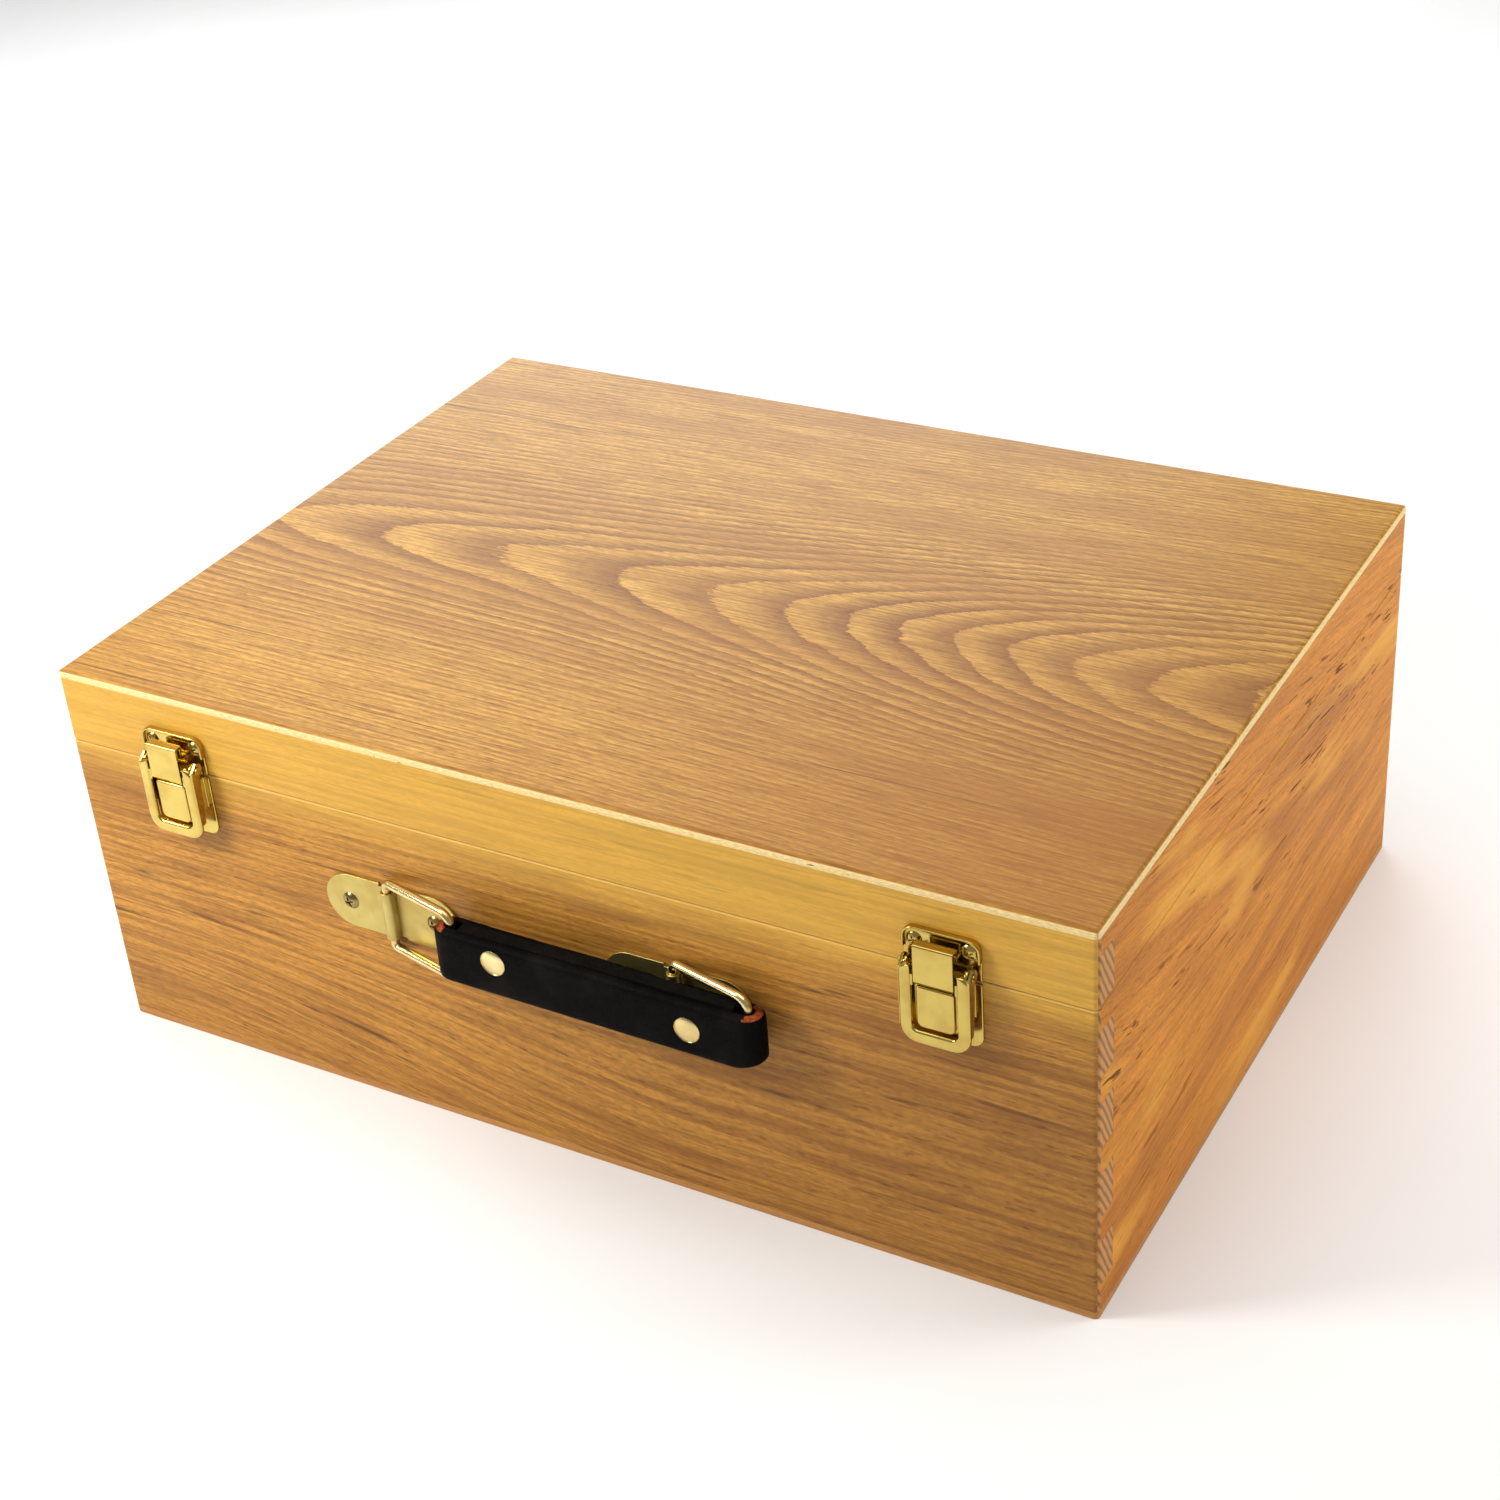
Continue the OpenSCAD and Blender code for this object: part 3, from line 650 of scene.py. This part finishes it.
def arc(u, v, r, start, end, steps=ARC_STEPS):
    """Points on an arc, from one angle to another in degrees."""
    turns = [math.radians(start + (end - start) * k / steps) for k in range(steps + 1)]
    return [(u + r * math.cos(a), v + r * math.sin(a)) for a in turns]


def on_front(x, z, outline, off):
    """A flat outline placed in front of the box, off in front of the wood."""
    return [Vector((x + u, FRONT_Y - off, z + v)) for u, v in outline]


def rounding(r, steps=5):
    """(inset, depth behind the front) pairs round a quarter of a circle."""
    turns = [math.radians(90 * k / steps) for k in range(steps + 1)]
    return [(r * (1 - math.cos(a)), r * (1 - math.sin(a))) for a in turns]


# A latch lever's measures: up from its foot, and off the wood.
LEVER_TOP = 29.5 * MM
PIVOT_UP, PIVOT_OFF = 28 * MM, 4.5 * MM
EAR_R = 2.8 * MM
LUG_R = 2.0 * MM
CHEEK_X, CHEEK_T = 11.5 * MM, 1.0 * MM
LUG_X, LUG_T = 8.15 * MM, 2.1 * MM
TRAY_BACK, TRAY_OFF, TAB_OFF = 5.0 * MM, 5.7 * MM, 7.0 * MM
TAB_CORNER = 2.2 * MM


def lever_rim(x, z, top, off):
    """The lever's bent-up rim: a U of sheet brass with rounded edges round its window."""
    half, window, corner, shoulder, foot, inner = (v * MM for v in (12, 7.8, 6, 3.5, 5, 2.2))
    back = Vector((0, FRONT_Y - off + 1.4 * MM, 0))
    outer_r, inner_r, least_flat = 1.3 * MM, 1.0 * MM, 0.3 * MM
    outside = (
        arc(shoulder - half, top - shoulder, shoulder, 90, 180)
        + arc(corner - half, corner, corner, 180, 270)
        + arc(half - corner, corner, corner, 270, 360)
        + arc(half - shoulder, top - shoulder, shoulder, 0, 90)
    )
    inside = (
        [(-window, top - shoulder * k / ARC_STEPS) for k in range(ARC_STEPS + 1)]
        + arc(inner - window, foot + inner, inner, 180, 270)
        + arc(window - inner, foot + inner, inner, 270, 360)
        + [(window, top - shoulder + shoulder * k / ARC_STEPS) for k in range(ARC_STEPS + 1)]
    )
    rows = []
    for outer, near in zip(outside, inside):
        a = Vector((x + outer[0], 0, z + outer[1]))
        b = Vector((x + near[0], 0, z + near[1]))
        across = (b - a).normalized()
        squeeze = min(1.0, (b - a).length / (outer_r + inner_r + least_flat))
        row = [a + back]
        for inset, depth in rounding(outer_r):
            row.append(a + across * inset * squeeze + Vector((0, FRONT_Y - off + depth, 0)))
        for inset, depth in reversed(rounding(inner_r)):
            row.append(b - across * inset * squeeze + Vector((0, FRONT_Y - off + depth, 0)))
        row.append(b + back)
        rows.append(row)
    return rows


def slab(x, z, outline, back, front, r):
    """Rows of a plate in front of the box whose front edge is rounded. outline takes an inset."""
    rows = [on_front(x, z, outline(0), back)]
    return rows + [on_front(x, z, outline(inset), front - depth) for inset, depth in rounding(r)]


def tab_outline(half, foot, top, corner):
    """A plate's outline, with round lower corners and small upper ones, for any inset."""
    small = 1 * MM

    def outline(inset):
        r = corner - inset
        return (
            arc(corner - half, foot + corner, r, 180, 270)
            + arc(half - corner, foot + corner, r, 270, 360)
            + arc(half - small, top - small, small - inset, 0, 90, 4)
            + arc(small - half, top - small, small - inset, 90, 180, 4)
        )

    return outline


def wall(x, width, outline):
    """Rows of an upright plate across the box's front, with its edges cut back a little.
    outline is (height, off) points."""
    cut = 0.15 * MM
    left, right = x - width / 2, x + width / 2
    middle_z = sum(z for z, _ in outline) / len(outline)
    middle_off = sum(o for _, o in outline) / len(outline)
    rows = []
    for place, inset in [(left, cut), (left + cut, 0), (right - cut, 0), (right, cut)]:
        row = []
        for z, off in outline:
            inward = Vector((middle_z - z, middle_off - off)).normalized() * inset
            row.append(Vector((place, FRONT_Y - off - inward.y, z + inward.x)))
        rows.append(row)
    return rows


def cheek_outline(foot, rim):
    """The lever's side, from its rim back to the round ear on its pivot pin."""
    lower = [(foot + 6 * MM, rim), (foot + 6.6 * MM, 5.2 * MM)]
    ear = arc(foot + PIVOT_UP, PIVOT_OFF, EAR_R, 200, 360)
    upper = [(foot + 29.2 * MM, rim - 1.6 * MM), (foot + 28 * MM, rim)]
    return lower + ear + upper


def lug_outline(height, off, rim):
    """A lug behind the rim, round the link's pin."""
    return arc(height, off, LUG_R, 180, 360) + [(height + LUG_R, rim), (height - LUG_R, rim)]


def build_lever(node, look):
    """A latch lever: rounded rim, sunken tab on its tray, side cheeks, and link lugs."""
    x, z = middle(node).x, low(node).z
    off = FRONT_Y - low(node).y
    rim = off - 0.6 * MM
    pin = middle("latch_link_pin_left")
    tab_top = pin.z - z - 2.5 * MM
    tab = tab_outline(6.5 * MM, 5.9 * MM, tab_top, TAB_CORNER)
    tray = tab_outline(8.6 * MM, 2.6 * MM, tab_top, TAB_CORNER)
    shape = swept(lever_rim(x, z, LEVER_TOP, off), False)
    join(shape, slab(x, z, tab, TRAY_OFF - 0.1 * MM, TAB_OFF, 0.7 * MM))
    join(shape, slab(x, z, tray, TRAY_BACK, TRAY_OFF, 0.1 * MM))
    for side in (-1, 1):
        join(shape, wall(x + side * CHEEK_X, CHEEK_T, cheek_outline(z, rim)))
        join(shape, wall(x + side * LUG_X, LUG_T, lug_outline(pin.z, FRONT_Y - pin.y, rim)))
    name = node + "_sheet"
    sharpen(add_piece(name, to_mesh(shape, name), node, "brass", look))


HINGE_AND_STAY = ("hinge_body_leaf", "hinge_lid_leaf", "hinge_pin", "stay_arm", "stay_pivot", "stay_stud")


def build_hardware(gold, pale_gold, steel):
    """Latches, handle plates, hinges, stays and every screw."""
    for side in ("left", "right"):
        for node in ("latch_base", "latch_catch"):
            eased(f"{node}_{side}", "brass", gold, 0.34 * MM)
        eased("latch_link_" + side, "brass", gold, 0.25 * MM, 0.7 * MM, at_link_bend)
        build_lever("latch_lever_" + side, gold)
        eased("latch_link_pin_" + side, "brass", gold, 0.15 * MM)
        eased("handle_plate_" + side, "brass", pale_gold, 0.2 * MM)
        for node in HINGE_AND_STAY:
            eased(f"{node}_{side}", "brass", gold, 0.2 * MM)
    for node in ("latch_base_screws", "latch_catch_screws", "latch_lever_pins"):
        eased(node, "brass", gold, 0.1 * MM)
    for node in ("handle_plate_screws", "hinge_body_screws", "hinge_lid_screws"):
        eased(node, "brass", steel, 0.12 * MM)


# ---- handle ----

RING_WIRE = 1.6 * MM
RING_SIDES = 20
RING_ARM = 33 * MM
RING_NEAR_BEND = 2.2 * MM
RING_FAR_BEND = 4.5 * MM
RING_TILT = math.radians(13.5)
SLEEVE_OFF = 2.46 * MM


def ring_path(height):
    """The ring's wire as (along the arm, up) points with their outward directions."""
    half = height / 2
    near, far = RING_NEAR_BEND, RING_FAR_BEND
    corners = [
        (near, half - near, near, 180), (RING_ARM - far, half - far, far, 90),
        (RING_ARM - far, far - half, far, 0), (near, near - half, near, -90),
    ]
    points = []
    for u, v, bend, start in corners:
        for k in range(ARC_STEPS + 1):
            a = math.radians(start - k * 90 / ARC_STEPS)
            out = Vector((math.cos(a), 0, math.sin(a)))
            points.append((Vector((u, 0, v)) + out * bend, out))
    return points


def build_ring(side, look):
    """A handle ring of round wire, standing off the board round its plate's sleeve."""
    node = "handle_ring_" + side
    plate = middle("handle_plate_" + side)
    pivot = Vector((plate.x, FRONT_Y - SLEEVE_OFF, plate.z))
    turn = Matrix.Translation(pivot) @ Matrix.Rotation(-RING_TILT, 4, "Z")
    height = high(node).z - low(node).z - 2 * RING_WIRE
    rows = []
    for point, out in ring_path(height):
        row = []
        for k in range(RING_SIDES):
            a = TAU * k / RING_SIDES
            offset = out * math.cos(a) + Vector((0, 1, 0)) * math.sin(a)
            row.append(turn @ (point + offset * RING_WIRE))
        rows.append(row)
    name = node + "_wire"
    add_piece(name, to_mesh(swept(rows, True), name), node, "brass", look)


def build_handle(bright):
    for side in ("left", "right"):
        build_ring(side, bright)
    build_strap()
    eased("handle_rivets", "brass", bright, 0.25 * MM)


STRAP_T = 3.3 * MM
STRAP_LOOP = 2.3 * MM
RUN_STEPS = 90
LOOP_STEPS = 24
RIVET_R = 4.75 * MM

# How the worn leather leaves its plain shape.
CROWN = 0.2 * MM
SAG = 1.3 * MM
TURN_UP, MOST_TURN_UP = 3.0 * MM, 2.4 * MM
RIVET_DENT, RIVET_DENT_R = 0.35 * MM, 6.0 * MM
SLEEVE_DENT, SLEEVE_DENT_R = 0.8 * MM, 5.5 * MM


def strap_run(start, span, y, facing, kind):
    """A straight stretch of the strap's route. Its outer face points along Y times facing."""
    out = Vector((0, facing, 0))
    return [(Vector((start + span * k / RUN_STEPS, y, 0)), out, kind) for k in range(RUN_STEPS)]


def strap_loop(x, y, start):
    """Half a turn of the strap's route round a ring's bar, from start degrees."""
    stations = []
    for k in range(LOOP_STEPS):
        a = math.radians(start + 180 * k / LOOP_STEPS)
        out = Vector((math.cos(a), math.sin(a), 0))
        stations.append((Vector((x, y, 0)) + out * STRAP_LOOP, out, "loop"))
    return stations


def strap_outline(height):
    """The strap's cross-section as (outward, up) points, with rounder edges on its outer face."""
    half = height / 2
    outer_r, inner_r = 2.2 * MM, 0.15 * MM
    corners = [
        (STRAP_T - outer_r, half - outer_r, outer_r, 0), (inner_r, half - inner_r, inner_r, 90),
        (inner_r, inner_r - half, inner_r, 180), (STRAP_T - outer_r, outer_r - half, outer_r, 270),
    ]
    points = []
    for u, v, r, start in corners:
        points += arc(u, v, r, start, start + 90, 4)
    flat = height - 2 * outer_r
    return points + [(STRAP_T, -half + outer_r + flat * k / 8) for k in range(1, 8)]


class Strap:
    """The strap's measures, and where each point of it lies."""

    def __init__(self):
        start, end = low("handle_strap"), high("handle_strap")
        radius = STRAP_T + STRAP_LOOP
        self.left, self.right = start.x + radius, end.x - radius
        self.bar_y = start.y + radius
        self.middle_z = (start.z + end.z) / 2
        self.height = end.z - start.z
        self.sleeve_x = middle("handle_plate_right").x
        first, last = low("handle_rivets"), high("handle_rivets")
        self.rivets = [
            (first.x + RIVET_R, last.z - RIVET_R),
            (last.x - RIVET_R, first.z + RIVET_R),
        ]

    def stations(self):
        """The closed route: (middle of the inner face, outward direction, kind of stretch)."""
        span = self.right - self.left
        return (
            strap_run(self.left, span, self.bar_y - STRAP_LOOP, -1, "front")
            + strap_loop(self.right, self.bar_y, -90)
            + strap_run(self.right, -span, self.bar_y + STRAP_LOOP, 1, "rear")
            + strap_loop(self.left, self.bar_y, 90)
        )

    def swell(self, x, v, kind):
        """How much the outer face bulges. The rear is pressed in by the right plate's sleeve."""
        if kind == "rear":
            return -SLEEVE_DENT * math.exp(-(((x - self.sleeve_x) / SLEEVE_DENT_R) ** 4))
        return CROWN * (1 - (2 * v / self.height) ** 2)

    def rise(self, x, v):
        """The strap sags to the right, and its lower edge turns up round the right ring."""
        sag = -SAG * (x - self.left) / (self.right - self.left)
        past_end = max(0.0, (x - self.right + 4 * MM) / (6 * MM))
        below_middle = max(0.0, -2 * v / self.height)
        return sag + min(TURN_UP * past_end ** 2 * below_middle ** 3, MOST_TURN_UP)

    def dent(self, point):
        """How deep the rivets' heads press the leather in at a point."""
        depth = 0.0
        for x, z in self.rivets:
            near = math.hypot(point.x - x, point.z - z) / RIVET_DENT_R
            depth += RIVET_DENT * math.exp(-near ** 4)
        return depth

    def point(self, station, u, v):
        """A point u outward and v up from a station. share is 0 on the inner face, 1 on the outer."""
        base, out, kind = station
        share = u / STRAP_T
        point = base + out * (u + share * self.swell(base.x, v, kind))
        point.z += v + self.middle_z + self.rise(base.x, v)
        if kind == "front":
            point -= out * share * self.dent(point)
        wobble = noise.noise(point * 90.0) * 0.16 * MM + noise.noise(point * 400.0) * 0.05 * MM
        return point + out * wobble * share + Vector((0, 0, wobble * 0.8))

    def is_raw(self, face):
        """True on the cut edges of the loops, which the black dye doesn't cover."""
        past_end = face.center.x > self.right + 0.3 * MM or face.center.x < self.left - 0.3 * MM
        return past_end and abs(face.normal.z) > 0.75


def build_strap():
    strap = Strap()
    outline = strap_outline(strap.height)
    rows = [[strap.point(station, u, v) for u, v in outline] for station in strap.stations()]
    name = "handle_strap_leather"
    mesh = to_mesh(swept(rows, True), name)
    raw = raw_leather("raw_leather", srgb(164, 78, 40), srgb(90, 40, 20))
    add_piece(name, mesh, "handle_strap", "leather", black_leather(), raw)
    for face in mesh.polygons:
        face.material_index = 1 if strap.is_raw(face) else 0
    core = raw_leather("strap_core", srgb(15, 13, 11), srgb(8, 7, 6))
    eased("handle_strap_filler", "leather_core", core, 0.15 * MM)


# ---- stage ----

FLOOR_R = 9.0
BACKDROP_R = 8.9
WORLD_LIGHT = 0.3


def stage_piece(name, shape, look):
    piece = bpy.data.objects.new(name, to_mesh(shape, name))
    bpy.context.scene.collection.objects.link(piece)
    piece.data.materials.append(look)
    return piece


def build_stage():
    """The floor, and a plain pale backdrop all round that only the camera sees."""
    floor = bmesh.new()
    bmesh.ops.create_circle(floor, cap_ends=True, segments=96, radius=FLOOR_R)
    stage_piece("floor", floor, floor_look())
    backdrop = bmesh.new()
    bmesh.ops.create_uvsphere(backdrop, u_segments=48, v_segments=24, radius=BACKDROP_R)
    dome = stage_piece("backdrop", backdrop, backdrop_look())
    dome.visible_diffuse = False
    dome.visible_glossy = False
    dome.visible_transmission = False
    dome.visible_shadow = False


def sky_light(strength, spread):
    """Soft light straight down that is the same everywhere on the floor."""
    data = bpy.data.lights.new("sky", "SUN")
    data.energy = strength
    data.angle = math.radians(spread)
    bpy.context.scene.collection.objects.link(bpy.data.objects.new("sky", data))


def area_light(name, place, aim, size, power, colour=(1, 1, 1), spread=180):
    """A rectangular lamp that the camera doesn't see. spread is its beam's width in degrees."""
    data = bpy.data.lights.new(name, "AREA")
    data.shape = "RECTANGLE"
    data.size, data.size_y = size
    data.energy = power
    data.color = colour
    data.spread = math.radians(spread)
    light = bpy.data.objects.new(name, data)
    light.location = place
    light.rotation_euler = (Vector(aim) - Vector(place)).to_track_quat("-Z", "Y").to_euler()
    light.visible_camera = False
    bpy.context.scene.collection.objects.link(light)


def build_light():
    world = bpy.data.worlds.new("studio")
    bpy.context.scene.world = world
    world.use_nodes = True
    background = world.node_tree.nodes["Background"]
    background.inputs["Color"].default_value = (1, 1, 1, 1)
    background.inputs["Strength"].default_value = WORLD_LIGHT
    sky_light(1.5, 60)
    area_light("key", (-0.45, -0.5, 0.52), (-0.1, -0.12, 0.1), (0.22, 0.22), 4.0, (1.0, 0.97, 0.92))
    area_light("sheen", (-0.85, 1.3, 0.55), (-0.1, 0.05, 0.12), (1.2, 0.5), 4.6, spread=120)
    area_light("right_fill", (1.0, 0.5, 0.5), (0.2, 0.1, 0.08), (0.5, 0.5), 4.4, (1.0, 0.95, 0.88))


# The camera's place, and its turn in degrees: how far to the right of the front it stands, how far
# above level, and its roll.
CAMERA_PLACE = Vector((0.438586, -0.723482, 0.604545))
CAMERA_TURN = (31.428, 31.679, -4.594)
CAMERA_LENS = 63.03
CAMERA_SENSOR = 36.0


def build_camera():
    azimuth, elevation, roll = (math.radians(a) for a in CAMERA_TURN)
    back = Vector((
        math.sin(azimuth) * math.cos(elevation),
        -math.cos(azimuth) * math.cos(elevation),
        math.sin(elevation),
    ))
    level = Vector((math.cos(azimuth), math.sin(azimuth), 0))
    upright = back.cross(level)
    right = level * math.cos(roll) + upright * math.sin(roll)
    up = upright * math.cos(roll) - level * math.sin(roll)
    data = bpy.data.cameras.new("camera")
    data.lens = CAMERA_LENS
    data.sensor_width = CAMERA_SENSOR
    camera = bpy.data.objects.new("camera", data)
    turn = Matrix((right, up, back)).transposed().to_4x4()
    camera.matrix_world = Matrix.Translation(CAMERA_PLACE) @ turn
    bpy.context.scene.collection.objects.link(camera)
    bpy.context.scene.camera = camera


def build():
    gold = brass("brass", srgb(204, 180, 98), 0.12)
    pale_gold = brass("pale_brass", srgb(200, 184, 112), 0.36)
    bright = brass("bright_brass", srgb(232, 214, 156), 0.16)
    steel = brass("screw_metal", srgb(150, 132, 88), 0.16)
    build_case()
    build_hardware(gold, pale_gold, steel)
    build_handle(bright)
    build_stage()
    build_light()
    build_camera()
    bpy.context.scene.view_settings.view_transform = "Standard"


build()
